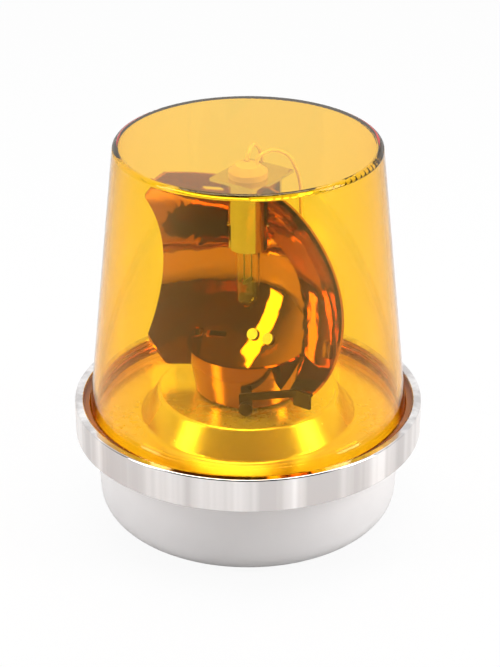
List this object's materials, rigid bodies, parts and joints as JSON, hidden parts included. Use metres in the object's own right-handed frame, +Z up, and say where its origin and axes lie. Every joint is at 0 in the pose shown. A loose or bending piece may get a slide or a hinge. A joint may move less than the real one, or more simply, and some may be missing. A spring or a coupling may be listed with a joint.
{
  "type": "rotating warning beacon",
  "caption": "Amber rotating-reflector warning beacon: clear tapered dome, bright clamp ring, round base with conduit entry, geared motor and a lamp in a mirrored dish.",
  "frame": {"origin": "centre of the base's flat underside", "axes": "+Z up along the spindle and dome axis; the side seen from the front faces -Y"},
  "size_m": [0.165, 0.165, 0.1863],
  "materials": {
    "housing_paint": "satin",
    "pedestal_steel": "satin",
    "ring_chrome": "polished",
    "dome_amber": "clear",
    "mirror_metal": "polished",
    "zinc_steel": "satin",
    "dark_steel": "satin",
    "bearing_bronze": "satin",
    "contact_brass": "polished",
    "white_nylon": "matte",
    "black_plastic": "matte",
    "carbon": "matte",
    "gasket_rubber": "matte",
    "lamp_glass": "clear",
    "filament_wire": "satin",
    "lead_sleeve": "matte"
  },
  "bodies": {
    "base": {"base_housing": "housing_paint", "pedestal": "pedestal_steel", "chassis_plate": "zinc_steel", "chassis_screws": "zinc_steel", "bearing_tube": "bearing_bronze", "thrust_washer": "white_nylon", "gearbox": "zinc_steel", "motor_can": "zinc_steel", "motor_screws": "zinc_steel", "brush_holder": "black_plastic", "holder_screws": "zinc_steel", "brush_lower": "carbon", "brush_spring_lower": "contact_brass", "brush_upper": "carbon", "brush_spring_upper": "contact_brass", "terminal_block": "black_plastic", "terminal_screws": "contact_brass", "ground_screw": "contact_brass", "brush_leads": "lead_sleeve", "motor_leads": "lead_sleeve", "dome_gasket": "gasket_rubber"},
    "pinion": {"pinion": "contact_brass", "motor_shaft": "zinc_steel"},
    "rotor": {"spindle": "zinc_steel", "retaining_clip": "dark_steel", "slip_ring_carrier": "white_nylon", "slip_ring_lower": "contact_brass", "slip_ring_upper": "contact_brass", "gear_spacer": "white_nylon", "driven_gear": "white_nylon", "hub_stem": "white_nylon", "hub_cup": "mirror_metal", "hub_screw": "zinc_steel", "reflector": "mirror_metal", "reflector_saddle": "black_plastic", "reflector_rivets": "zinc_steel", "brace_strap": "dark_steel", "strap_standoff": "dark_steel", "strap_screw": "dark_steel", "socket_shell": "contact_brass", "socket_insulator": "black_plastic", "socket_cap": "black_plastic", "socket_bracket": "zinc_steel", "lamp_leads": "lead_sleeve"},
    "plunger": {"contact_plunger": "contact_brass", "plunger_spring": "zinc_steel"},
    "lamp": {"lamp_cap": "contact_brass", "lamp_pins": "contact_brass", "lamp_glass": "lamp_glass", "lamp_filament": "filament_wire"},
    "dome": {"dome": "dome_amber"},
    "ring": {"clamp_ring": "ring_chrome", "ring_lock_screw": "dark_steel"}
  },
  "joints": [
    {"name": "rotor_spin", "type": "hinge", "parent": "base", "child": "rotor", "pos_m": [0, 0, 0.044], "axis": [0, 0, 1], "continuous": true},
    {"name": "pinion_spin", "type": "hinge", "parent": "base", "child": "pinion", "pos_m": [-0.03375, 0, 0.044], "axis": [0, 0, 1], "continuous": true},
    {"name": "dome_lift", "type": "slide", "parent": "base", "child": "dome", "axis": [0, 0, 1], "range_m": [0, 0.16]},
    {"name": "ring_turn", "type": "hinge", "parent": "dome", "child": "ring", "pos_m": [0, 0, 0.0498], "axis": [0, 0, 1], "range_deg": [0, 360]},
    {"name": "lamp_twist", "type": "hinge", "parent": "rotor", "child": "lamp", "pos_m": [0, 0, 0.1463], "axis": [0, 0, 1], "range_deg": [0, 25]},
    {"name": "plunger_slide", "type": "slide", "parent": "rotor", "child": "plunger", "axis": [0, 0, 1], "range_m": [0, 0.0015], "stiffness_N_per_m": 400, "deforming": ["plunger_spring"]}
  ],
  "couplings": [
    {"joint": "pinion_spin", "follows": "rotor_spin", "ratio": -4}
  ]
}
